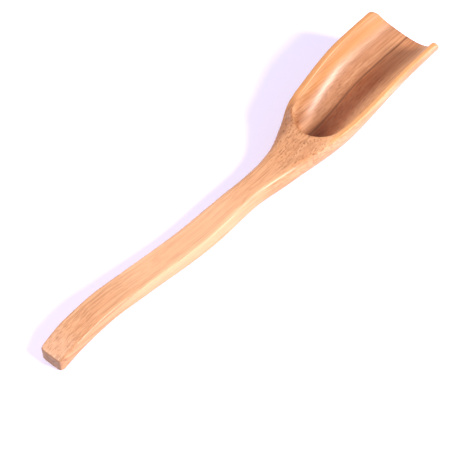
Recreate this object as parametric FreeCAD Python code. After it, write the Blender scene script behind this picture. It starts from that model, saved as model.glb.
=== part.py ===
"""A hand scoop for loose tea leaves, carved from a block of glued bamboo strips.

The block is made of five bamboo strips that stand on edge, side by side, with a glue line
between each pair. The scoop is then shaped from that block as one form: an arched handle with
eased edges, a neck that flares into the bowl, and a long open bowl with a round underside and
a mouth that leans back. Each strip is one solid here, so the glue lines are the faces where
they meet.

Frame, in millimetres: +X runs along the scoop from the handle's butt to the lip, +Y is across it,
+Z is up. The scoop lies hollow side up, with its belly and its butt on the plane z = 0.
"""

import FreeCAD, Part
import math
import os
from collections import namedtuple

Vector = FreeCAD.Vector

# Lengths along the scoop
HANDLE_LENGTH = 90.5
FLARE_LENGTH = 38.0
BOWL_LENGTH = 51.5

# Widths across the scoop
BUTT_WIDTH = 10.1
GRIP_WIDTH = 10.6
NECK_WIDTH = 9.7
FLARE_WIDTH = 14.5
SHOULDER_WIDTH = 26.2
BOWL_WIDTH = 30.3
LIP_WIDTH = 30.2

# Heights of the underside above the table; the butt and the belly touch it
TIP_HEIGHT = 3.5
ARCH_HEIGHT = 4.7
GRIP_HEIGHT = 3.4
WAIST_HEIGHT = 0.5
NECK_HEIGHT = 1.0
SHOULDER_HEIGHT = 1.3
BOWL_HEIGHT = 8.8
LIP_HEIGHT = 11.1

# Thickness from underside to top, and outside depth of the bowl
BUTT_THICKNESS = 5.1
GRIP_THICKNESS = 5.3
WAIST_THICKNESS = 6.3
NECK_THICKNESS = 7.3
FLARE_THICKNESS = 9.4
SHOULDER_DEPTH = 13.7
BOWL_DEPTH = 12.4
LIP_DEPTH = 12.5

# The narrow facet that eases the top edges, on the handle and on the bowl's rim
HANDLE_EASE = 0.9
RIM_EASE = 0.35

# The hollow, cut with a round-nosed tool
WALL_AT_SHOULDER = 2.6
WALL_AT_LIP = 1.9
FLOOR_AT_SHOULDER = 3.2
FLOOR_AT_LIP = 1.8
HOLLOW_LENGTH = 59.0
HOLLOW_NOSE_LENGTH = 6.4

# Ends, seen from above: how far the corners lie back, and the straight in the middle
LIP_BOW = 1.5
LIP_FLAT_WIDTH = 8.0
BUTT_BOW = 2.6
BUTT_FLAT_WIDTH = 5.0

# How far the mouth leans back from its floor to its rim
LIP_LEAN = 5.2

# The glued block
STRIP_THICKNESS = 6.1

# How far a cutting solid runs past what it cuts
OVERRUN = 4.0

# Places of the stations, as shares of the handle, the flare and the bowl
HANDLE_PLACE_SHARES = (0.0, 0.13, 0.27, 0.44, 0.79, 1.0)
FLARE_PLACE_SHARES = (0.5, 1.0)
BOWL_PLACE_SHARES = (0.52, 1.0)

# How deep the straight sides reach below the top, as a share of the thickness
SIDE_SHARES = (0.76, 0.76, 0.76, 0.76, 0.76, 0.67, 0.43, 0.10, 0.08, 0.08)

# How much of the underside's width is flat, as a share of the width
KEEL_SHARES = (0.76, 0.76, 0.76, 0.76, 0.74, 0.61, 0.32, 0.15, 0.12, 0.12)

# How round the turn from side to underside is: 0 is a straight facet and 1 is a full oval
ROUND_SHARES = (0.0, 0.0, 0.0, 0.0, 0.1, 0.4, 0.9, 1.0, 1.0, 1.0)

# How full an oval quarter is: 0.55 is an ellipse and 1 is square
UNDERSIDE_FULLNESS_SHARE = 0.49
HOLLOW_FULLNESS_SHARE = 0.58
LIP_FULLNESS_SHARE = 0.55
BUTT_FULLNESS_SHARE = 0.80

# How many sections each loft has
SECTIONS_PER_STATION = 3
NOSE_SECTIONS = 6
HOLLOW_SECTIONS = 5

STRIP_NAMES = (
    "right_outer_strip",
    "right_inner_strip",
    "centre_strip",
    "left_inner_strip",
    "left_outer_strip",
)

LENGTH = HANDLE_LENGTH + FLARE_LENGTH + BOWL_LENGTH
NECK_PLACE = HANDLE_LENGTH
SHOULDER_PLACE = HANDLE_LENGTH + FLARE_LENGTH
HOLLOW_PLACE = LENGTH - HOLLOW_LENGTH

Station = namedtuple("Station", "place width underside thickness side keel roundness ease")


def stations():
    """The scoop's sections at its named places, from the butt to the lip."""
    places = [share * HANDLE_LENGTH for share in HANDLE_PLACE_SHARES]
    places += [NECK_PLACE + share * FLARE_LENGTH for share in FLARE_PLACE_SHARES]
    places += [SHOULDER_PLACE + share * BOWL_LENGTH for share in BOWL_PLACE_SHARES]
    widths = (
        BUTT_WIDTH, GRIP_WIDTH, GRIP_WIDTH, GRIP_WIDTH, GRIP_WIDTH, NECK_WIDTH,
        FLARE_WIDTH, SHOULDER_WIDTH, BOWL_WIDTH, LIP_WIDTH,
    )
    undersides = (
        0.0, TIP_HEIGHT, ARCH_HEIGHT, GRIP_HEIGHT, WAIST_HEIGHT, NECK_HEIGHT,
        0.0, SHOULDER_HEIGHT, BOWL_HEIGHT, LIP_HEIGHT,
    )
    thicknesses = (
        BUTT_THICKNESS, GRIP_THICKNESS, GRIP_THICKNESS, GRIP_THICKNESS, WAIST_THICKNESS,
        NECK_THICKNESS, FLARE_THICKNESS, SHOULDER_DEPTH, BOWL_DEPTH, LIP_DEPTH,
    )
    rim_stations = 1 + len(BOWL_PLACE_SHARES)
    eases = [HANDLE_EASE] * (len(places) - rim_stations) + [RIM_EASE] * rim_stations
    rows = zip(places, widths, undersides, thicknesses, SIDE_SHARES, KEEL_SHARES,
               ROUND_SHARES, eases)
    return [Station(*row) for row in rows]


def slopes(places, values):
    """Slopes at the stations for a smooth line that never overshoots its stations."""
    runs = [b - a for a, b in zip(places, places[1:])]
    rises = [(b - a) / run for a, b, run in zip(values, values[1:], runs)]
    inner = []
    for i in range(1, len(places) - 1):
        before, after = rises[i - 1], rises[i]
        if before * after <= 0:
            inner.append(0.0)
            continue
        weight_before = 2 * runs[i] + runs[i - 1]
        weight_after = runs[i] + 2 * runs[i - 1]
        inner.append((weight_before + weight_after) / (weight_before / before + weight_after / after))
    return [rises[0]] + inner + [rises[-1]]


def eased(places, values, x):
    """Value at x on the smooth line through the stations."""
    gradient = slopes(places, values)
    i = 0
    while i < len(places) - 2 and x > places[i + 1]:
        i += 1
    run = places[i + 1] - places[i]
    t = (x - places[i]) / run
    start = (1 + 2 * t) * (1 - t) ** 2 * values[i] + t * (1 - t) ** 2 * run * gradient[i]
    end = t * t * (3 - 2 * t) * values[i + 1] + t * t * (t - 1) * run * gradient[i + 1]
    return start + end


STATIONS = stations()


def form(x):
    """The scoop's outer section at any place, eased between the stations."""
    places = [station.place for station in STATIONS]
    columns = list(zip(*STATIONS))
    return Station(x, *[eased(places, column, x) for column in columns[1:]])


def quarter(start, corner, end, fullness):
    """A quarter of an oval that leaves start and reaches end, bulging towards the corner."""
    curve = Part.BezierCurve()
    curve.setPoles([
        start,
        start + (corner - start) * fullness,
        end + (corner - end) * fullness,
        end,
    ])
    return curve.toShape()


def turn_under(flank, corner, foot, roundness):
    """The turn from side to underside, between a straight facet and an oval quarter."""
    reach = UNDERSIDE_FULLNESS_SHARE * roundness
    straight = (foot - flank) * ((1 - roundness) / 3)
    curve = Part.BezierCurve()
    curve.setPoles([
        flank,
        flank + (corner - flank) * reach + straight,
        foot + (corner - foot) * reach - straight,
        foot,
    ])
    return curve.toShape()


def outer_section(x):
    """Closed outline of the scoop at x: flat top, eased edges, sides, turned-under underside."""
    at = form(x)
    half = at.width / 2
    top = at.underside + at.thickness
    low_side = top - at.side * at.thickness
    keel = half * at.keel
    outline = []
    for sign in (1, -1):
        outline.append([
            Vector(x, sign * (half - at.ease), top),
            Vector(x, sign * half, top - at.ease),
            Vector(x, sign * half, low_side),
            Vector(x, sign * half, at.underside),
            Vector(x, sign * keel, at.underside),
        ])
    left, right = outline
    return Part.Wire([
        Part.makeLine(right[0], left[0]),
        Part.makeLine(left[0], left[1]),
        Part.makeLine(left[1], left[2]),
        turn_under(left[2], left[3], left[4], at.roundness),
        Part.makeLine(left[4], right[4]),
        turn_under(right[2], right[3], right[4], at.roundness),
        Part.makeLine(right[2], right[1]),
        Part.makeLine(right[1], right[0]),
    ])


def section_places():
    """Where the loft's sections stand: at each station and evenly between neighbours."""
    places = [station.place for station in STATIONS]
    found = [places[0]]
    for a, b in zip(places, places[1:]):
        for step in range(1, SECTIONS_PER_STATION + 1):
            found.append(a + (b - a) * step / SECTIONS_PER_STATION)
    return found


def blank():
    """The solid form of the scoop before its hollow is cut."""
    return Part.makeLoft([outer_section(x) for x in section_places()], True, False)


def end_cutter(end, bow, half, flat, fullness, lean_share):
    """Waste beyond an end, with its outline drawn below the scoop and swept up, leaning back.

    flat is half the end's straight middle, bow is how far its corners lie back from it, and
    lean_share is how far it leans back for each length of height above the lip's underside.
    """
    low = -OVERRUN
    tip = end + lean_share * (LIP_HEIGHT - low)
    shoulder = tip - bow
    reach = OVERRUN + LIP_LEAN if bow > 0 else -OVERRUN
    side = half + OVERRUN
    height = LIP_HEIGHT + LIP_DEPTH + SHOULDER_DEPTH + OVERRUN
    left = Vector(shoulder, half, low)
    right = Vector(shoulder, -half, low)
    flat_left = Vector(tip, flat, low)
    flat_right = Vector(tip, -flat, low)
    corners = [
        left,
        Vector(shoulder, side, low),
        Vector(tip + reach, side, low),
        Vector(tip + reach, -side, low),
        Vector(shoulder, -side, low),
        right,
    ]
    edges = [
        quarter(right, Vector(tip, -half, low), flat_right, fullness),
        Part.makeLine(flat_right, flat_left),
        quarter(flat_left, Vector(tip, half, low), left, fullness),
    ]
    edges += [Part.makeLine(a, b) for a, b in zip(corners, corners[1:])]
    return Part.Face(Part.Wire(edges)).extrude(Vector(-lean_share * height, 0, height))


def hollow_section(x):
    """Closed U-shaped outline of the tool that cuts the hollow, open well above the rim."""
    at = form(min(x, LENGTH))
    share = (x - HOLLOW_PLACE) / HOLLOW_LENGTH
    wall = WALL_AT_SHOULDER + (WALL_AT_LIP - WALL_AT_SHOULDER) * share
    floor = FLOOR_AT_SHOULDER + (FLOOR_AT_LIP - FLOOR_AT_SHOULDER) * share
    opening = nose_opening(x)
    half = (at.width / 2 - wall) * opening
    rim = at.underside + at.thickness
    bottom = rim - (at.thickness - floor) * opening
    above = rim + OVERRUN
    keel = Vector(x, 0, bottom)
    left = Vector(x, half, rim)
    right = Vector(x, -half, rim)
    edges = [
        quarter(left, Vector(x, half, bottom), keel, HOLLOW_FULLNESS_SHARE),
        quarter(keel, Vector(x, -half, bottom), right, HOLLOW_FULLNESS_SHARE),
        Part.makeLine(right, Vector(x, -half, above)),
        Part.makeLine(Vector(x, -half, above), Vector(x, half, above)),
        Part.makeLine(Vector(x, half, above), left),
    ]
    return Part.Wire(edges)


def nose_opening(x):
    """How far the round nose has opened at x: an oval arc from almost shut to fully open."""
    short = max(0.0, 1 - (x - HOLLOW_PLACE) / HOLLOW_NOSE_LENGTH)
    return math.sqrt(1 - short * short)


def hollow():
    """The tool's whole path, from its round nose behind the shoulder to beyond the lip."""
    places = []
    for step in range(1, NOSE_SECTIONS + 1):
        turn = math.pi / 2 * step / NOSE_SECTIONS
        places.append(HOLLOW_PLACE + HOLLOW_NOSE_LENGTH * (1 - math.cos(turn)))
    nose_end = places[-1]
    run = (LENGTH - nose_end) / HOLLOW_SECTIONS
    places += [nose_end + run * step for step in range(1, HOLLOW_SECTIONS + 1)]
    places.append(LENGTH + OVERRUN)
    return Part.makeLoft([hollow_section(x) for x in places], True, False)


def carved():
    """The whole scoop: blank, hollow, leaning and bowed lip, and bowed butt."""
    lip_waste = end_cutter(LENGTH, LIP_BOW, LIP_WIDTH / 2, LIP_FLAT_WIDTH / 2,
                           LIP_FULLNESS_SHARE, LIP_LEAN / LIP_DEPTH)
    butt_waste = end_cutter(0, -BUTT_BOW, BUTT_WIDTH / 2, BUTT_FLAT_WIDTH / 2,
                            BUTT_FULLNESS_SHARE, 0)
    return blank().cut(hollow()).cut(lip_waste).cut(butt_waste)


def strip_slab(index):
    """The space of one strip in the glued block, counted from the middle; the outer ones run on."""
    outermost = len(STRIP_NAMES) // 2
    low = (index - 0.5) * STRIP_THICKNESS
    high = (index + 0.5) * STRIP_THICKNESS
    if index == -outermost:
        low = -LIP_WIDTH - BOWL_WIDTH
    if index == outermost:
        high = LIP_WIDTH + BOWL_WIDTH
    height = LIP_HEIGHT + LIP_DEPTH + SHOULDER_DEPTH + 2 * OVERRUN
    corner = Vector(-OVERRUN, low, -OVERRUN)
    return Part.makeBox(LENGTH + 2 * OVERRUN, high - low, height, corner)


def main():
    os.makedirs("parts", exist_ok=True)
    scoop = carved()
    middle = Vector(-LENGTH / 2, 0, 0)
    for order, name in enumerate(STRIP_NAMES):
        index = order - len(STRIP_NAMES) // 2
        strip = scoop.common(strip_slab(index))
        strip.translate(middle)
        strip.exportStep("parts/%s.step" % name)
        print(name, len(strip.Solids), round(strip.Volume, 1), strip.isValid())


main()
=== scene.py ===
"""Looks of the bamboo tea scoop: five lacquered strips of bamboo on a pale floor, in soft light.

The shown surface is the part's own form with its edges softened as by hand sanding. It is built
once as a fine grid, then cut at the glue planes into one piece for each strip.
Until a mesh is made, sizes are millimetres and x is counted from the butt. In the materials, sizes
are millimetres too, but x is counted from the middle of the scoop.
"""

import math
from collections import namedtuple

import bmesh
import bpy
import numpy as np
from mathutils import Matrix, Vector, noise


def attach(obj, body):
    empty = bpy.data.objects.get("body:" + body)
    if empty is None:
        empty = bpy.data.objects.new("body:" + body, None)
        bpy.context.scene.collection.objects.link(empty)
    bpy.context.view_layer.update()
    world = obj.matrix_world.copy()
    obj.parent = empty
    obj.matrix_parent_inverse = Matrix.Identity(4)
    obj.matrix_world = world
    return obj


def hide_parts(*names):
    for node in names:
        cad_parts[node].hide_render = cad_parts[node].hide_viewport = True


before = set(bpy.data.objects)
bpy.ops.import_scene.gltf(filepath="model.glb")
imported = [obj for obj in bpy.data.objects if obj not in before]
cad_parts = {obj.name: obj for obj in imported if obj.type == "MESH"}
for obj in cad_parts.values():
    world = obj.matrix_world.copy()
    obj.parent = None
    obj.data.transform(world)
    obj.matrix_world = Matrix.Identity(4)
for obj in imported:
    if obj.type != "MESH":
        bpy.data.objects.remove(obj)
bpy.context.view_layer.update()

MM = 0.001

# Lengths along the scoop
HANDLE_LENGTH = 90.5
FLARE_LENGTH = 38.0
BOWL_LENGTH = 51.5
LENGTH = HANDLE_LENGTH + FLARE_LENGTH + BOWL_LENGTH

# Stations from butt to lip, as shares of the handle, the flare and the bowl
HANDLE_PLACE_SHARES = (0.0, 0.13, 0.27, 0.44, 0.79, 1.0)
FLARE_PLACE_SHARES = (0.5, 1.0)
BOWL_PLACE_SHARES = (0.52, 1.0)
PLACES = [share * HANDLE_LENGTH for share in HANDLE_PLACE_SHARES]
PLACES += [HANDLE_LENGTH + share * FLARE_LENGTH for share in FLARE_PLACE_SHARES]
PLACES += [HANDLE_LENGTH + FLARE_LENGTH + share * BOWL_LENGTH for share in BOWL_PLACE_SHARES]
PLACES = np.array(PLACES)

# The scoop's sizes at the stations. The side is how far the straight sides reach down, as a share
# of the thickness, and the keel is the underside's flat, as a share of the width. The turn is how
# full the curve between the two is, and the ease is how much of the top's edge is rounded off.
FORM = {
    "width": (10.1, 10.6, 10.6, 10.6, 10.6, 9.7, 14.5, 26.2, 30.3, 30.2),
    "underside": (0.0, 3.5, 4.7, 3.4, 0.5, 1.0, 0.0, 1.3, 8.8, 11.1),
    "thickness": (5.1, 5.3, 5.3, 5.3, 6.3, 7.3, 9.4, 13.7, 12.4, 12.5),
    "side": (0.76, 0.76, 0.76, 0.76, 0.76, 0.67, 0.43, 0.10, 0.08, 0.08),
    "keel": (0.76, 0.76, 0.76, 0.76, 0.74, 0.61, 0.32, 0.15, 0.12, 0.12),
    "turn": (0.54, 0.54, 0.54, 0.54, 0.52, 0.42, 0.47, 0.49, 0.49, 0.49),
    "ease": (0.9, 0.9, 0.9, 0.9, 1.1, 1.6, 1.9, 0.5, 0.5, 0.5),
}
FORM = {name: np.array(values, float) for name, values in FORM.items()}

# The hollow
WALL_AT_SHOULDER = 2.6
WALL_AT_LIP = 1.9
FLOOR_AT_SHOULDER = 3.2
FLOOR_AT_LIP = 1.8
HOLLOW_LENGTH = 59.0
NOSE_LENGTH = 6.4
HOLLOW_FULLNESS = 0.58
HOLLOW_PLACE = LENGTH - HOLLOW_LENGTH
NOSE_END = HOLLOW_PLACE + NOSE_LENGTH

# Ends seen from above: half the width, half of the straight middle, how far the corners lie back
# from it, and how full the curve between them is
EndPlan = namedtuple("EndPlan", "half flat bow fullness")
LIP_PLAN = EndPlan(half=15.1, flat=4.0, bow=1.5, fullness=0.55)
BUTT_PLAN = EndPlan(half=5.05, flat=2.5, bow=2.6, fullness=0.80)

# How far the mouth's face leans back over its height, and the radius of its rounded upper corners
LIP_LEAN = 5.2
LIP_LEAN_SHARE = LIP_LEAN / FORM["thickness"][-1]
LIP_CORNER = 2.6

# Uneven handwork on the +Y side of the flare. Outside a line, given by places and by distances
# from the middle, the top falls away by a slope. The fall comes in between two places, ends a
# little way past the line's end and fades over its last part. Low down on the side there is none,
# and near the top it is full. The side is also slimmer there.
FALL_PLACES = (98.0, 104.0, 122.0, 124.5, 127.5, 131.0)
FALL_LINE = (4.2, 4.4, 6.2, 9.3, 11.6, 12.9)
FALL_SLOPE = 0.27
FALL_SOFTNESS = 0.4
FALL_START = (95.0, 105.0)
FALL_OVERRUN = 4.0
FALL_FADE = 6.0
FALL_HEIGHT_SHARES = (0.2, 0.9)
SLIM_PLACES = (86.0, 103.0, 120.0, 132.0)
SLIM = (0.0, 1.1, 1.1, 0.0)

# Uneven handwork on the -Y side: the mouth's corner reaches further out, and towards the lip the
# wall stands further in and higher, from a little way off the middle
LIP_REACH = 1.5
WALL_INWARD = 0.9
WALL_UPWARD = 0.5
WALL_START = 2.0

# Sanding leaves low waves in the surface: their height, their length along the scoop, how many
# times shorter they are across it, and below which height they lift and lower the surface less.
# The seed keeps the waves the same in each run.
SANDING = 0.07
SANDING_LENGTH = 11.0
SANDING_STRETCH = 1.5
SANDING_CLEAR = 2.5
SANDING_SEED = 1

# Sizes of the softened edges, and how full their curve is
RIM_SOFTNESS = 0.85
LIP_SOFTNESS = 0.42
BUTT_SOFTNESS = 0.7
SOFT_FULLNESS = 0.56

# How far from an end the rows bend with it
LIP_EASING = 30.0
BUTT_EASING = 12.0

# The glued strips with their material slots, from the -Y side to the +Y side
STRIP_THICKNESS = 6.1
STRIP_SLOTS = {
    "right_outer_strip": "outer_bamboo",
    "right_inner_strip": "inner_bamboo",
    "centre_strip": "centre_bamboo",
    "left_inner_strip": "inner_bamboo",
    "left_outer_strip": "outer_bamboo",
}
OUTERMOST = len(STRIP_SLOTS) // 2

# How fine the grid is: rows along the scoop, columns across half of it, and rings on its ends.
# The hollow's columns are crowded a little towards its middle, by a power under 1.
HANDLE_ROWS = 105
SIDE_ROWS = 14
BOWL_ROWS = 50
TOP_COLUMNS = 8
FLAT_COLUMNS = 3
SOFT_COLUMNS = 5
SIDE_COLUMNS = 4
TURN_COLUMNS = 14
KEEL_COLUMNS = 3
OUTER_COLUMNS = SOFT_COLUMNS + SIDE_COLUMNS + TURN_COLUMNS + KEEL_COLUMNS
OVAL_COLUMNS = OUTER_COLUMNS - FLAT_COLUMNS - SOFT_COLUMNS
OVAL_CROWDING = 0.9
END_RINGS = 4

# In how many steps an end's curve is worked out, and how often a row is bent to follow it
PLAN_STEPS = 160
BEND_PASSES = 6

# How far behind the hollow's nose the flat top ends and the rows round the nose begin
BEHIND_NOSE = 2.4
TOP_END = HOLLOW_PLACE - BEHIND_NOSE

# Metres within which points are one point, a point lies on a cutting plane, and the middle of a
# face lies on a seam; and how squarely a face on a seam faces along y
MERGE_DISTANCE = 2e-6
CUT_TOLERANCE = 1e-7
SEAM_TOLERANCE = 1e-6
SEAM_FACING = 0.999
NORMAL_STORE = "soft_normal"

# Light, middle and dark tone of each strip, counted from the middle one. The outer strips are more
# mottled, and one strip has a node scar.
TONES = {
    -2: ((0.57, 0.32, 0.180), (0.50, 0.25, 0.125), (0.32, 0.145, 0.062)),
    -1: ((0.55, 0.29, 0.155), (0.48, 0.23, 0.112), (0.31, 0.130, 0.056)),
    0: ((0.54, 0.28, 0.145), (0.47, 0.22, 0.105), (0.30, 0.124, 0.052)),
    1: ((0.55, 0.29, 0.155), (0.48, 0.235, 0.115), (0.31, 0.130, 0.056)),
    2: ((0.57, 0.32, 0.180), (0.50, 0.25, 0.125), (0.32, 0.142, 0.060)),
}
INNER_MOTTLE = 0.25
OUTER_MOTTLE = 0.45
SCARRED_STRIP = -1

# Each strip is cut from another place in the same wood, so many millimetres on from its neighbour
STRIP_SHIFT = (61.0, 0.0, 17.0)

# How many grains each pattern has for each millimetre along x, y and z
SWAY_GRAINS = (0.03, 0.06, 0.06)
BROAD_GRAINS = (0.014, 0.5, 0.3)
STREAK_GRAINS = (0.012, 1.6, 1.2)
FINE_GRAINS = (0.035, 6.5, 5.0)
PATCH_GRAINS = (0.11, 0.7, 0.6)
BUNDLE_GRAINS = (0.045, 1.3, 1.05)
PORE_GRAINS = (0.62, 1.15, 0.9)
PORE_FIELD_GRAINS = (0.3, 0.4, 0.4)
LACQUER_LINE_GRAINS = (0.012, 2.3, 1.6)

# How far the fibres wander in all along x, y and z, to both sides of the noise's middle value
SWAY = (0.0, 1.0, 1.0)
NOISE_MIDDLE = (0.5, 0.5, 0.5)

# How patterns turn into tones: the pattern's value where the tone starts and where it is full,
# then the tone's strength at both, where that isn't 0 and 1. A patch's full strength is the
# mottle. The bundles' density is their strength at a strip's -Y side and at its +Y side.
BROAD_SPAN = (0.3, 0.7)
STREAK_SPAN = (0.45, 0.68, 0.0, 0.7)
PATCH_SPAN = (0.5, 0.68, 0.0)
FINE_SPAN = (0.45, 0.78, 0.0, 0.34)
BUNDLE_SPAN = (0.3, 0.12)
BUNDLE_DENSITY = (0.35, 1.0)
BUNDLE_STRENGTH = 0.5
PORE_SPAN = (0.2, 0.02)
PORE_THINNING = 0.3
PORE_STRENGTH = 0.6
LACQUER_LINE_SPAN = (0.48, 0.6, 0.0, 0.42)

# How places turn into tones, in the same way: along x, across y, up z, or by how far the surface
# faces up or along the scoop
FLARE_START = (8.0, 27.0)
FLARE_END = (41.0, 37.0)
FLARE_HEIGHT = (6.8, 8.2)
FLARE_FACING = (0.25, 0.6)
# Painted shade on the flare's +Y side, which faces away from the key light
FLARE_SIDE_SHADE_START = (8.0, 24.0)
FLARE_SIDE_SHADE_END = (42.0, 38.5)
FLARE_SIDE_SHADE_ACROSS = (3.0, 7.0)
RISE_START = (-78.0, -38.0)
RISE_END = (8.0, -14.0)
RISE_STRENGTH = 0.4
HOLLOW_START = (29.5, 36.0)
HOLLOW_FACING = (0.1, 0.4)
# Painted shade along the bottom of the hollow: across it, then along it, weaker towards the lip
BOTTOM_SHADE_ACROSS = (6.5, 1.5)
BOTTOM_SHADE_ALONG = (88.0, 62.0, 0.45, 1.0)
# Painted shade on the hollow's +Y wall
WALL_SHADE_ACROSS = (3.6, 7.5)
# Painted bounce light on the hollow's -Y side, which lies in the key light's shadow
BOUNCE_LIGHT_ACROSS = (-3.5, -8.0, 0.0, 0.5)
RIM_ACROSS = (9.8, 12.0)
RIM_STRENGTH = 0.6
SCAR_PLACE = 15.0
SCAR_WANDER = 5.0
SCAR_ALONG = (2.6, 0.5)
SCAR_HEIGHT = (3.2, 1.2, 0.0, 0.8)
END_FACING = (0.6, 0.9, 0.0, 0.88)

# The glue line at each strip's edge starts and is full this far inside it. One line is thicker
# where the hollow lays it open, and is given by the distance from its middle.
GLUE_START = 0.14
GLUE_FULL = 0.04
GLUE_STRENGTH = 0.25
THICK_GLUE_SPAN = (0.5, 0.15, 0.0, 0.7)

# Colours that replace the wood's tone, and tints that multiply it
FIBRE_COLOUR = (0.17, 0.066, 0.024)
RISE_COLOUR = (0.64, 0.38, 0.23)
# Painted bounce light for the hollow's -Y side
BOUNCE_LIGHT_COLOUR = (0.72, 0.36, 0.17)
RIM_COLOUR = (0.50, 0.215, 0.068)
GLUE_COLOUR = (0.14, 0.055, 0.022)
THICK_GLUE_COLOUR = (0.13, 0.046, 0.018)
SCAR_COLOUR = (0.12, 0.05, 0.022)
END_COLOUR = (0.23, 0.115, 0.055)
FLARE_TINT = (0.93, 0.88, 0.80)
# Painted shade for the flare's +Y side
FLARE_SIDE_SHADE_TINT = (0.74, 0.66, 0.62)
# Painted shade for the hollow's bottom
BOTTOM_SHADE_TINT = (0.62, 0.36, 0.23)
# Painted shade for the hollow's +Y wall
WALL_SHADE_TINT = (0.76, 0.68, 0.65)

# The surface: how far each pattern stands out or lies in, the gloss, and the lacquer's coat
FINE_RELIEF = 0.5
BUNDLE_RELIEF = 0.5
PORE_RELIEF = 1.2
BUMP_STRENGTH = 0.3
BUMP_HEIGHT = 0.07
ROUGHNESS_SPAN = (0.2, 0.8, 0.42, 0.56)
SPECULAR_LEVEL = 0.22
COAT_WEIGHT = 0.36
COAT_ROUGHNESS = 0.34

# The floor, in metres, and the light from all round
FLOOR_REACH = 6
FLOOR_COLOUR = (0.85, 0.80, 0.94)
FLOOR_ROUGHNESS = 0.9
SKY_COLOUR = (0.89, 0.87, 1.0)
SKY_STRENGTH = 0.56

# The camera at the photo's angle: its place in metres, and where its right, its up and its view
# point to; its lens and sensor are in millimetres
PLACE = Vector((-0.38082, -0.41830, 0.61286))
RIGHT = Vector((0.6887, -0.7217, -0.0690))
UP = Vector((0.5698, 0.4801, 0.6670))
FORWARD = Vector((0.4483, 0.4987, -0.7419))
LENS = 187.82
SENSOR_WIDTH = 36


def steps(count):
    """Even shares from 0 to 1."""
    return np.linspace(0, 1, count + 1)


def slopes(places, values):
    """Slopes at the stations for a smooth line that never overshoots its stations."""
    runs = np.diff(places)
    rises = np.diff(values) / runs
    inner = []
    for before, after, run, next_run in zip(rises, rises[1:], runs, runs[1:]):
        if before * after <= 0:
            inner.append(0.0)
            continue
        weight_before = 2 * next_run + run
        weight_after = next_run + 2 * run
        inner.append((weight_before + weight_after) / (weight_before / before + weight_after / after))
    return np.array([rises[0]] + inner + [rises[-1]])


SLOPES = {name: slopes(PLACES, values) for name, values in FORM.items()}


def size(name, x):
    """A size of the scoop at x, on the smooth line through its stations."""
    x = np.clip(x, 0, LENGTH)
    i = np.clip(np.searchsorted(PLACES, x) - 1, 0, len(PLACES) - 2)
    run = PLACES[i + 1] - PLACES[i]
    t = (x - PLACES[i]) / run
    values, slope = FORM[name], SLOPES[name]
    start = (1 + 2 * t) * (1 - t) ** 2 * values[i] + t * (1 - t) ** 2 * run * slope[i]
    end = t * t * (3 - 2 * t) * values[i + 1] + t * t * (t - 1) * run * slope[i + 1]
    return start + end


def top(x):
    """Height of the flat top or the rim above the table."""
    return size("underside", x) + size("thickness", x)


def rim_line(x):
    """How far from the middle the flat top ends and the softened outer edge starts."""
    return size("width", x) / 2 - size("ease", x)


def quarter(start, corner, end, fullness, t):
    """Points at shares t of an oval quarter that bulges towards the corner."""
    first = start + (corner - start) * fullness
    last = end + (corner - end) * fullness
    s = 1 - t
    return start * s**3 + 3 * first * s * s * t + 3 * last * s * t * t + end * t**3


def outer_half(x):
    """Half an outer section from the rim line to the keel, with one x for each of its points."""
    half = size("width", x) / 2
    under = size("underside", x)
    crown = top(x)
    shoulder = crown - size("ease", x)
    low_side = crown - size("side", x) * size("thickness", x)
    keel = half * size("keel", x)
    y = half.copy()
    z = crown.copy()
    a = SOFT_COLUMNS + 1
    b = a + SIDE_COLUMNS
    c = b + TURN_COLUMNS
    soft, side, turn, flat = slice(0, a), slice(a, b), slice(b, c), slice(c, None)
    t = steps(SOFT_COLUMNS)
    y[soft] = quarter(rim_line(x)[soft], half[soft], half[soft], SOFT_FULLNESS, t)
    z[soft] = quarter(crown[soft], crown[soft], shoulder[soft], SOFT_FULLNESS, t)
    t = steps(SIDE_COLUMNS)[1:]
    z[side] = shoulder[side] + (low_side - shoulder)[side] * t
    t = steps(TURN_COLUMNS)[1:]
    fullness = size("turn", x)[turn]
    y[turn] = quarter(half[turn], half[turn], keel[turn], fullness, t)
    z[turn] = quarter(low_side[turn], under[turn], under[turn], fullness, t)
    y[flat] = keel[flat] * (1 - steps(KEEL_COLUMNS)[1:])
    z[flat] = under[flat]
    return y, z


def hollow_half(x):
    """Half the width of the hollow at its rim."""
    share = (x - HOLLOW_PLACE) / HOLLOW_LENGTH
    return size("width", x) / 2 - WALL_AT_SHOULDER - (WALL_AT_LIP - WALL_AT_SHOULDER) * share


def hollow_depth(x):
    """Depth of the hollow below its rim, in the middle."""
    share = (x - HOLLOW_PLACE) / HOLLOW_LENGTH
    return size("thickness", x) - FLOOR_AT_SHOULDER - (FLOOR_AT_LIP - FLOOR_AT_SHOULDER) * share


# Where the oval of the hollow meets the softened rim, and its reach and drop from there on
SOFT_START = RIM_SOFTNESS / (3 * HOLLOW_FULLNESS * hollow_depth((NOSE_END + LENGTH) / 2))
OVAL_STEPS = SOFT_START + (1 - SOFT_START) * steps(OVAL_COLUMNS) ** OVAL_CROWDING
OVAL_REACH = quarter(1.0, 1.0, 0.0, HOLLOW_FULLNESS, OVAL_STEPS)
OVAL_DROP = quarter(0.0, 1.0, 1.0, HOLLOW_FULLNESS, OVAL_STEPS)


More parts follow.
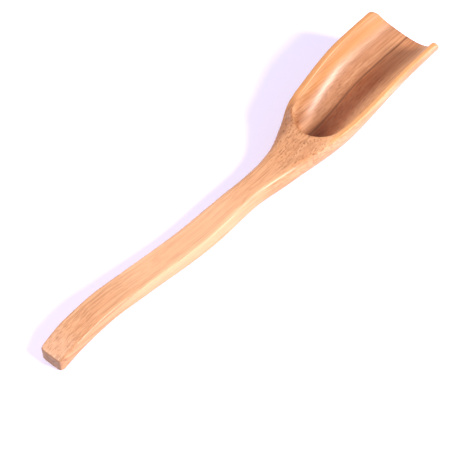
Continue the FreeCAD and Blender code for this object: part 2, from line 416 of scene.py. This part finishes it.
def inner_half(x):
    """Half an inner section from the rim line to the middle of the floor, like outer_half."""
    half = hollow_half(x)
    depth = hollow_depth(x)
    crown = top(x)
    a = FLAT_COLUMNS + 1
    b = a + SOFT_COLUMNS
    flat, soft, oval = slice(0, a), slice(a, b), slice(b, None)
    y = half.copy()
    z = crown.copy()
    t = steps(FLAT_COLUMNS)
    y[flat] = rim_line(x)[flat] * (1 - t) + (half[flat] + RIM_SOFTNESS) * t
    t = steps(SOFT_COLUMNS)[1:]
    edge = half[soft]
    low = crown[soft] - depth[soft] * OVAL_DROP[0]
    y[soft] = quarter(edge + RIM_SOFTNESS, edge, edge * OVAL_REACH[0], SOFT_FULLNESS, t)
    z[soft] = quarter(crown[soft], crown[soft], low, SOFT_FULLNESS, t)
    y[oval] = half[oval] * OVAL_REACH[1:]
    z[oval] = crown[oval] - depth[oval] * OVAL_DROP[1:]
    return y, z


def nose_row(turn, edge):
    """One row of the top and hollow round the nose; edge is where it starts on the flat top."""
    along, across = math.cos(turn), math.sin(turn)

    def spot(reach, drop):
        """A point of the nose's bowl, at shares of its reach and of its drop."""
        x = NOSE_END - NOSE_LENGTH * reach * along
        level = top(x) - hollow_depth(x) * drop
        return np.array((x, hollow_half(x) * reach * across, level))

    rim = spot(1.0, 0.0)
    away = np.array((-along / NOSE_LENGTH, across / hollow_half(rim[0]), 0.0))
    outside = rim + away / np.linalg.norm(away) * RIM_SOFTNESS
    outside[2] = top(outside[0])
    row = []
    for t in steps(FLAT_COLUMNS):
        point = edge * (1 - t) + outside * t
        point[2] = top(point[0])
        row.append(point)
    low = spot(OVAL_REACH[0], OVAL_DROP[0])
    row += [quarter(outside, rim, low, SOFT_FULLNESS, t) for t in steps(SOFT_COLUMNS)[1:]]
    row += [spot(reach, drop) for reach, drop in zip(OVAL_REACH[1:], OVAL_DROP[1:])]
    return np.array(row)


def plan_back(y, plan):
    """How far an end lies back from its tip at y."""
    half, flat, bow, fullness = plan
    t = steps(PLAN_STEPS)
    across = quarter(half, half, flat, fullness, t)
    back = quarter(bow, 0.0, 0.0, fullness, t)
    return np.interp(np.abs(y), across[::-1], back[::-1], left=0.0, right=bow)


def lip_back(y, z):
    """How far the mouth's face lies back from the lip's tip, at a point of its edge."""
    rim = top(LENGTH - LIP_LEAN)
    rounding = np.clip(LIP_CORNER - (rim - z), 0, LIP_CORNER)
    corner = LIP_CORNER - np.sqrt(LIP_CORNER**2 - rounding**2)
    return plan_back(y, LIP_PLAN) + LIP_LEAN_SHARE * (z - FORM["underside"][-1]) + corner


def end_shift(x, y, z, softness):
    """How far the rows near an end are moved to follow its face."""
    near_butt = max(0.0, 1 - x / BUTT_EASING)
    near_lip = max(0.0, 1 - (LENGTH - x) / LIP_EASING)
    butt = plan_back(y, BUTT_PLAN) + BUTT_SOFTNESS * softness
    lip = lip_back(y, z) + LIP_SOFTNESS * softness
    return near_butt * butt - near_lip * lip


def row_at(x, section, softness=1.0):
    """One row of points on the surface, bent to follow the bow of an end that is near."""
    places = np.full(OUTER_COLUMNS + 1, float(x))
    for _ in range(BEND_PASSES):
        y, z = section(places)
        places = x + end_shift(x, y, z, softness)
    y, z = section(places)
    return np.column_stack((places, y, z))


def top_row(x, softness=1.0):
    """One row across half of the handle's flat top, from its edge to the middle."""
    shares = 1 - steps(TOP_COLUMNS)
    places = np.full(TOP_COLUMNS + 1, float(x))
    for _ in range(BEND_PASSES):
        y = rim_line(places) * shares
        places = x + end_shift(x, y, top(places), softness)
    return np.column_stack((places, rim_line(places) * shares, top(places)))


def inset(row, side, softness):
    """A row moved into the material, in the plane of its section; side is 1 outside, -1 inside."""
    along = np.gradient(row[:, 1:], axis=0)
    normal = np.column_stack((along[:, 1], -along[:, 0])) * side
    normal[0] = (0, -1)
    normal[-1] = (0, side)
    normal /= np.linalg.norm(normal, axis=1)[:, None]
    moved = row.copy()
    moved[:, 1:] += normal * softness
    moved[-1, 1] = 0
    return moved


def softened(before, corner, after):
    """The rows of a softened edge, without its first row."""
    return [quarter(before, corner, after, SOFT_FULLNESS, t) for t in steps(SOFT_COLUMNS)[1:]]


def lip_face(outer, inner):
    """Softens the mouth's two edges at the ends of the grids, and returns the face between them."""
    edges = []
    for rows, section, side in ((outer, outer_half, 1), (inner, inner_half, -1)):
        corner = row_at(LENGTH, section, 0.0)
        after = inset(corner, side, LIP_SOFTNESS)
        after[:, 0] = LENGTH - lip_back(after[:, 1], after[:, 2])
        rows += softened(rows[-1], corner, after)
        edges.append(after)
    face = []
    for t in steps(END_RINGS):
        row = edges[0] * (1 - t) + edges[1] * t
        row[:, 0] = LENGTH - lip_back(row[:, 1], row[:, 2])
        face.append(row)
    return face


def butt_rings(rows, corner, side):
    """Softens the butt's edge at the start of a grid, and returns the rings from it to the middle."""
    after = inset(corner, side, BUTT_SOFTNESS)
    after[:, 0] = plan_back(after[:, 1], BUTT_PLAN)
    rows[:0] = softened(rows[0], corner, after)[::-1]
    middle = np.array((0.0, 0.0, FORM["thickness"][0] / 2))
    rings = []
    for t in steps(END_RINGS):
        ring = after * (1 - t) + middle * t
        ring[:, 0] = plan_back(ring[:, 1], BUTT_PLAN)
        rings.append(ring)
    return rings


def scoop_grids():
    """Grids of points that cover half of the scoop, y >= 0; neighbours share their edges."""
    handle = [TOP_END * t for t in steps(HANDLE_ROWS)]
    sides = [TOP_END + (NOSE_END - TOP_END) * t for t in steps(SIDE_ROWS)[1:]]
    bowl = [NOSE_END + (LENGTH - NOSE_END) * t for t in steps(BOWL_ROWS)[1:]]
    outer = [row_at(x, outer_half) for x in handle + sides + bowl]
    deck = [top_row(x) for x in handle]

    edges = list(deck[-1][::-1])
    edges += [row[0] for row in outer[len(handle):len(handle) + SIDE_ROWS]]
    turns = [math.pi / 2 * t for t in steps(len(edges) - 1)]
    inner = [nose_row(turn, edge) for turn, edge in zip(turns, edges)]
    inner += [row_at(x, inner_half) for x in bowl]

    face = lip_face(outer, inner)
    under_butt = butt_rings(outer, row_at(0, outer_half, 0.0), 1)
    over_butt = butt_rings(deck, top_row(0, 0.0), -1)
    return [outer, deck, inner, face, under_butt, over_butt]


def ramp(value, low, high):
    """A soft step from 0 at the low value to 1 at the high value."""
    t = min(max((value - low) / (high - low), 0.0), 1.0)
    return t * t * (3 - 2 * t)


def worked(x, y, z):
    """A point of the even form, moved as the handwork moved it, in metres in the part's frame."""
    outside = y - np.interp(x, FALL_PLACES, FALL_LINE)
    outside = (outside + math.hypot(outside, FALL_SOFTNESS)) / 2
    height = (z - size("underside", x)) / size("thickness", x)
    fall = FALL_SLOPE * outside * ramp(x, *FALL_START)
    fall *= ramp(FALL_PLACES[-1] + FALL_OVERRUN - x, 0.0, FALL_FADE)
    fall *= ramp(height, *FALL_HEIGHT_SHARES)
    slim = np.interp(x, SLIM_PLACES, SLIM) * ramp(y, 0.0, size("width", x) / 2)

    near_lip = max(0.0, 1 - (LENGTH - x) / LIP_EASING)
    reach = LIP_REACH * near_lip * ramp(-y, 0.0, LIP_PLAN.half)
    leaning = ramp(x, HOLLOW_PLACE, LENGTH) * ramp(-y, WALL_START, LIP_PLAN.half)

    uneven = noise.noise_vector(Vector((x, y * SANDING_STRETCH, z * SANDING_STRETCH)) / SANDING_LENGTH)
    y += uneven.y * SANDING + leaning * WALL_INWARD - slim
    z += uneven.z * SANDING * ramp(z, 0.0, SANDING_CLEAR) + leaning * WALL_UPWARD - fall
    return Vector((x + reach - LENGTH / 2, y, z)) * MM


def scoop_mesh():
    """The whole scoop as one closed mesh in the part's frame."""
    noise.seed_set(SANDING_SEED)
    mesh = bmesh.new()
    for grid in scoop_grids():
        for side in (1, -1):
            corners = []
            for row in grid:
                corners.append([mesh.verts.new(worked(x, y * side, z)) for x, y, z in row])
            for row, following in zip(corners, corners[1:]):
                for a, b, c, d in zip(row, row[1:], following[1:], following):
                    mesh.faces.new((a, b, c, d))
    bmesh.ops.remove_doubles(mesh, verts=mesh.verts, dist=MERGE_DISTANCE)
    bmesh.ops.dissolve_degenerate(mesh, dist=MERGE_DISTANCE, edges=mesh.edges)
    bmesh.ops.recalc_face_normals(mesh, faces=mesh.faces)
    return mesh


class Nodes:
    """Short ways to add shader nodes to one material and link them."""

    def __init__(self, tree):
        self.tree = tree

    def add(self, kind, inputs=(), **settings):
        """A new node. Each input is linked to a socket or set to a plain value."""
        made = self.tree.nodes.new(kind)
        for key, value in settings.items():
            setattr(made, key, value)
        for key, value in dict(inputs).items():
            socket = made.inputs[key]
            if isinstance(value, bpy.types.NodeSocket):
                self.tree.links.new(value, socket)
            else:
                socket.default_value = value
        return made

    def math(self, operation, a, b=0.0):
        """What an operation makes of one or two numbers."""
        return self.add("ShaderNodeMath", {0: a, 1: b}, operation=operation).outputs[0]

    def product(self, first, *others):
        """All the given numbers multiplied."""
        for other in others:
            first = self.math("MULTIPLY", first, other)
        return first

    def vector(self, operation, a, b):
        """What an operation makes of two vectors."""
        return self.add("ShaderNodeVectorMath", {0: a, 1: b}, operation=operation).outputs[0]

    def span(self, value, low, high, to_low=0.0, to_high=1.0):
        """The value moved from one range into another and held inside it, with soft ends."""
        return self.add(
            "ShaderNodeMapRange",
            {"Value": value, "From Min": low, "From Max": high, "To Min": to_low, "To Max": to_high},
            interpolation_type="SMOOTHSTEP",
        ).outputs["Result"]

    def noise(self, place, grains, detail=2.0, roughness=0.5, result="Fac"):
        """A noise with the given number of grains for each millimetre along x, y and z."""
        scaled = self.vector("MULTIPLY", place, grains)
        inputs = {"Vector": scaled, "Scale": 1.0, "Detail": detail, "Roughness": roughness}
        return self.add("ShaderNodeTexNoise", inputs).outputs[result]

    def cells(self, place, grains):
        """Distance to the nearest of many scattered points, with grains as in a noise."""
        scaled = self.vector("MULTIPLY", place, grains)
        return self.add("ShaderNodeTexVoronoi", {"Vector": scaled, "Scale": 1.0}).outputs["Distance"]

    def mix(self, share, a, b, blend="MIX"):
        """Colour a with a share of colour b over it."""
        made = self.add("ShaderNodeMix", data_type="RGBA", blend_type=blend)
        for socket, value in ((made.inputs[0], share), (made.inputs[6], a), (made.inputs[7], b)):
            if isinstance(value, bpy.types.NodeSocket):
                self.tree.links.new(value, socket)
            else:
                socket.default_value = value if socket == made.inputs[0] else (*value, 1)
        return made.outputs[2]


class Bamboo(Nodes):
    """One strip's bamboo: a solid grain along x, cut by the surface wherever it runs.

    Each method whose name starts with lay puts more tones over the colour so far.
    """

    def __init__(self, tree, index):
        super().__init__(tree)
        self.middle = index * STRIP_THICKNESS
        self.light_tone, self.middle_tone, self.dark_tone = TONES[index]
        self.mottle = OUTER_MOTTLE if abs(index) == OUTERMOST else INNER_MOTTLE
        where = self.add("ShaderNodeTexCoord").outputs
        place = self.vector("MULTIPLY", where["Object"], (1 / MM, 1 / MM, 1 / MM))
        self.x, self.y, self.z = self.add("ShaderNodeSeparateXYZ", {0: place}).outputs
        self.face_x, _, self.face_z = self.add("ShaderNodeSeparateXYZ", {0: where["Normal"]}).outputs
        self.own = self.vector("ADD", place, [index * shift for shift in STRIP_SHIFT])
        sway = self.noise(self.own, SWAY_GRAINS, detail=1.0, result="Color")
        sway = self.vector("SUBTRACT", sway, NOISE_MIDDLE)
        sway = self.vector("MULTIPLY", sway, SWAY)
        self.grain = self.vector("ADD", self.own, sway)

    def lay(self, share, colour, blend="MIX"):
        """Puts a share of a colour over the colour so far."""
        self.colour = self.mix(share, self.colour, colour, blend)

    def lay_grain(self):
        """Broad bands, streaks, mottled patches and fine fibres."""
        broad = self.noise(self.grain, BROAD_GRAINS)
        self.streak = self.noise(self.grain, STREAK_GRAINS, detail=3.0, roughness=0.65)
        self.fine = self.noise(self.grain, FINE_GRAINS, detail=1.0)
        self.patch = self.noise(self.grain, PATCH_GRAINS, detail=3.0, roughness=0.65)
        self.colour = self.mix(self.span(broad, *BROAD_SPAN), self.light_tone, self.middle_tone)
        self.lay(self.span(self.streak, *STREAK_SPAN), self.dark_tone)
        self.lay(self.span(self.patch, *PATCH_SPAN, self.mottle), self.dark_tone)
        self.lay(self.span(self.fine, *FINE_SPAN), self.dark_tone)

    def lay_bundles(self):
        """Bundles of dark fibres, seen as dashes where the surface runs with them."""
        half = STRIP_THICKNESS / 2
        dense = self.span(self.y, self.middle - half, self.middle + half, *BUNDLE_DENSITY)
        bundle = self.span(self.cells(self.grain, BUNDLE_GRAINS), *BUNDLE_SPAN)
        self.bundle = self.product(bundle, dense)
        self.lay(self.product(self.bundle, BUNDLE_STRENGTH), FIBRE_COLOUR)

    def lay_pores(self):
        """The same bundles as dots, where the flare's top cuts across the fibres."""
        self.on_flare = self.product(
            self.span(self.x, *FLARE_START),
            self.span(self.x, *FLARE_END),
            self.span(self.z, *FLARE_HEIGHT),
            self.span(self.face_z, *FLARE_FACING),
        )
        thinning = self.product(self.noise(self.own, PORE_FIELD_GRAINS), PORE_THINNING)
        near = self.math("SUBTRACT", self.cells(self.own, PORE_GRAINS), thinning)
        self.pore = self.product(self.span(near, *PORE_SPAN), self.on_flare)
        self.lay(self.product(self.pore, PORE_STRENGTH), FIBRE_COLOUR)

    def lay_rise(self):
        """Paler wood on the handle's rise."""
        start = self.span(self.x, *RISE_START)
        end = self.span(self.x, *RISE_END)
        self.lay(self.product(start, end, RISE_STRENGTH), RISE_COLOUR)

    def lay_flare(self):
        """A browner cut on the flare's top, and painted shade on its +Y side."""
        high_side = self.product(self.span(self.z, *FLARE_HEIGHT), self.span(self.y, *FLARE_SIDE_SHADE_ACROSS))
        # Painted shade on the flare's +Y side
        flare_side_shade = self.product(
            self.span(self.x, *FLARE_SIDE_SHADE_START),
            self.span(self.x, *FLARE_SIDE_SHADE_END),
            self.span(self.face_z, *FLARE_FACING),
            high_side,
        )
        self.lay(self.on_flare, FLARE_TINT, "MULTIPLY")
        self.lay(flare_side_shade, FLARE_SIDE_SHADE_TINT, "MULTIPLY")

    def lay_hollow(self):
        """Painted shade along the bottom and on the +Y wall, painted bounce light on the -Y side,
        lines along the hollow, and warmer wood at the rims."""
        place = self.span(self.x, *HOLLOW_START)
        self.hollow = self.product(place, self.span(self.face_z, *HOLLOW_FACING))
        across = self.math("ABSOLUTE", self.y)
        # Painted shade along the bottom of the hollow, weaker towards the lip
        bottom_shade = self.product(self.span(across, *BOTTOM_SHADE_ACROSS), self.hollow)
        bottom_shade = self.product(bottom_shade, self.span(self.x, *BOTTOM_SHADE_ALONG))
        # Painted shade on the hollow's +Y wall
        wall_shade = self.product(self.span(self.y, *WALL_SHADE_ACROSS), self.hollow)
        # Painted bounce light on the hollow's -Y side
        bounce_light = self.product(self.span(self.y, *BOUNCE_LIGHT_ACROSS), self.hollow)
        lines = self.noise(self.own, LACQUER_LINE_GRAINS, detail=1.0)
        lines = self.product(self.span(lines, *LACQUER_LINE_SPAN), self.hollow)
        rim = self.product(self.span(across, *RIM_ACROSS), self.hollow, RIM_STRENGTH)
        self.lay(bottom_shade, BOTTOM_SHADE_TINT, "MULTIPLY")
        self.lay(wall_shade, WALL_SHADE_TINT, "MULTIPLY")
        self.lay(bounce_light, BOUNCE_LIGHT_COLOUR)
        self.lay(lines, self.dark_tone)
        self.lay(rim, RIM_COLOUR)

    def lay_glue(self):
        """The glue lines at the strip's edges, and the thick one that the hollow lays open."""
        half = STRIP_THICKNESS / 2
        side = self.math("ABSOLUTE", self.math("SUBTRACT", self.y, self.middle))
        glue = self.span(side, half - GLUE_START, half - GLUE_FULL, 0.0, GLUE_STRENGTH)
        away = self.math("ABSOLUTE", self.math("SUBTRACT", self.y, half))
        thick_glue = self.product(self.span(away, *THICK_GLUE_SPAN), self.hollow)
        self.lay(glue, GLUE_COLOUR)
        self.lay(thick_glue, THICK_GLUE_COLOUR)

    def lay_scar(self):
        """The dark scar of a node, across the underside."""
        wandering = self.math("ADD", self.x, self.product(self.patch, SCAR_WANDER))
        away = self.math("ABSOLUTE", self.math("SUBTRACT", wandering, SCAR_PLACE))
        scar = self.product(self.span(away, *SCAR_ALONG), self.span(self.z, *SCAR_HEIGHT))
        self.lay(scar, SCAR_COLOUR)

    def lay_end_grain(self):
        """Dull, dark end grain on the butt and the mouth's face."""
        self.lay(self.span(self.math("ABSOLUTE", self.face_x), *END_FACING), END_COLOUR)

    def relief(self):
        """Fine fibres that stand out, and bundles and pores that lie in."""
        fibres = self.product(self.fine, FINE_RELIEF)
        bundles = self.product(self.bundle, BUNDLE_RELIEF)
        pores = self.product(self.pore, PORE_RELIEF)
        return self.math("SUBTRACT", self.math("SUBTRACT", fibres, bundles), pores)


def new_material(name):
    """A new material and its surface shader."""
    made = bpy.data.materials.new(name)
    made.use_nodes = True
    return made, made.node_tree.nodes["Principled BSDF"]


def bamboo(name, index):
    """Lacquered bamboo for one strip, counted from the middle one."""
    made, shader = new_material(name)
    wood = Bamboo(made.node_tree, index)
    wood.lay_grain()
    wood.lay_bundles()
    wood.lay_pores()
    wood.lay_rise()
    wood.lay_flare()
    wood.lay_hollow()
    wood.lay_glue()
    if index == SCARRED_STRIP:
        wood.lay_scar()
    wood.lay_end_grain()
    bump = wood.add(
        "ShaderNodeBump",
        {"Strength": BUMP_STRENGTH, "Distance": BUMP_HEIGHT * MM, "Height": wood.relief()},
    )
    links = made.node_tree.links
    links.new(wood.colour, shader.inputs["Base Color"])
    links.new(wood.span(wood.streak, *ROUGHNESS_SPAN), shader.inputs["Roughness"])
    links.new(bump.outputs[0], shader.inputs["Normal"])
    shader.inputs["Specular IOR Level"].default_value = SPECULAR_LEVEL
    shader.inputs["Coat Weight"].default_value = COAT_WEIGHT
    shader.inputs["Coat Roughness"].default_value = COAT_ROUGHNESS
    return made


def plain(name, colour, roughness):
    """A material of one colour."""
    made, shader = new_material(name)
    shader.inputs["Base Color"].default_value = (*colour, 1)
    shader.inputs["Roughness"].default_value = roughness
    return made


def cut_to_strip(mesh, index):
    """Cuts the whole form at the glue planes on both sides of a strip, and closes it there."""
    for side in (-1, 1):
        if index * side == OUTERMOST:
            continue
        plane = (index + side / 2) * STRIP_THICKNESS * MM
        everything = mesh.verts[:] + mesh.edges[:] + mesh.faces[:]
        cut = bmesh.ops.bisect_plane(
            mesh,
            geom=everything,
            dist=CUT_TOLERANCE,
            plane_co=(0, plane, 0),
            plane_no=(0, side, 0),
            clear_outer=True,
        )
        rims = [item for item in cut["geom_cut"] if isinstance(item, bmesh.types.BMEdge)]
        bmesh.ops.triangle_fill(mesh, edges=rims, use_beauty=True, normal=(0, side, 0))


def on_seam(face):
    """True for a face that lies where a strip was cut from its neighbour."""
    if abs(face.normal.y) <= SEAM_FACING:
        return False
    seams = [(step + 0.5) * STRIP_THICKNESS * MM for step in range(OUTERMOST)]
    return any(abs(abs(face.center.y) - seam) < SEAM_TOLERANCE for seam in seams)


def soften(data):
    """Shades a strip with the whole scoop's normals, and its seams flat."""
    stored = np.zeros(len(data.vertices) * 3)
    data.attributes[NORMAL_STORE].data.foreach_get("vector", stored)
    stored = stored.reshape(-1, 3)
    normals = []
    for face in data.polygons:
        face.use_smooth = True
        flat = on_seam(face)
        for loop in face.loop_indices:
            vert = data.loops[loop].vertex_index
            normals.append(face.normal[:] if flat else stored[vert])
    data.normals_split_custom_set(normals)
    data.attributes.remove(data.attributes[NORMAL_STORE])


def strip_piece(whole, name, index):
    """One strip of the scoop, counted from the middle one, with its material."""
    mesh = whole.copy()
    store = mesh.verts.layers.float_vector.new(NORMAL_STORE)
    mesh.normal_update()
    for vert in mesh.verts:
        vert[store] = vert.normal
    cut_to_strip(mesh, index)
    data = bpy.data.meshes.new(name)
    mesh.to_mesh(data)
    soften(data)
    piece = bpy.data.objects.new(name, data)
    bpy.context.scene.collection.objects.link(piece)
    data.materials.append(bamboo(name, index))
    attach(piece, "root")
    return piece


def softbox(name, azimuth, elevation, distance, width, power, colour):
    """A round soft light that looks at the scoop from the given direction, in degrees."""
    data = bpy.data.lights.new(name, "AREA")
    data.shape = "DISK"
    data.size = width
    data.energy = power
    data.color = colour
    made = bpy.data.objects.new(name, data)
    bpy.context.scene.collection.objects.link(made)
    around, up = math.radians(azimuth), math.radians(elevation)
    away = Vector((math.cos(around) * math.cos(up), math.sin(around) * math.cos(up), math.sin(up)))
    made.location = away * distance
    made.rotation_euler = away.to_track_quat("Z", "Y").to_euler()


scoop = scoop_mesh()
for order, (strip, slot) in enumerate(STRIP_SLOTS.items()):
    shown = strip_piece(scoop, strip.replace("strip", "bamboo"), order - OUTERMOST)
    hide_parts(strip)

FLOOR_CORNERS = [
    (-FLOOR_REACH, -FLOOR_REACH, 0),
    (FLOOR_REACH, -FLOOR_REACH, 0),
    (FLOOR_REACH, FLOOR_REACH, 0),
    (-FLOOR_REACH, FLOOR_REACH, 0),
]
floor_mesh = bpy.data.meshes.new("floor")
floor_mesh.from_pydata(FLOOR_CORNERS, [], [(0, 1, 2, 3)])
floor = bpy.data.objects.new("floor", floor_mesh)
bpy.context.scene.collection.objects.link(floor)
floor_mesh.materials.append(plain("pale_floor", FLOOR_COLOUR, FLOOR_ROUGHNESS))

camera_data = bpy.data.cameras.new("camera")
camera_data.lens = LENS
camera_data.sensor_width = SENSOR_WIDTH
camera = bpy.data.objects.new("camera", camera_data)
bpy.context.scene.collection.objects.link(camera)
turn = Matrix((RIGHT, UP, -FORWARD)).transposed().to_4x4()
camera.matrix_world = Matrix.Translation(PLACE) @ turn
bpy.context.scene.camera = camera

world = bpy.data.worlds.new("studio")
world.use_nodes = True
world.node_tree.nodes["Background"].inputs["Color"].default_value = (*SKY_COLOUR, 1)
world.node_tree.nodes["Background"].inputs["Strength"].default_value = SKY_STRENGTH
bpy.context.scene.world = world
bpy.context.scene.view_settings.view_transform = "Standard"

softbox(
    "key", azimuth=-76, elevation=33, distance=1.2, width=0.34, power=27, colour=(1.0, 0.97, 0.93),
)
softbox(
    "fill", azimuth=130, elevation=38, distance=1.2, width=0.5, power=13.5, colour=(0.98, 0.97, 1.0),
)
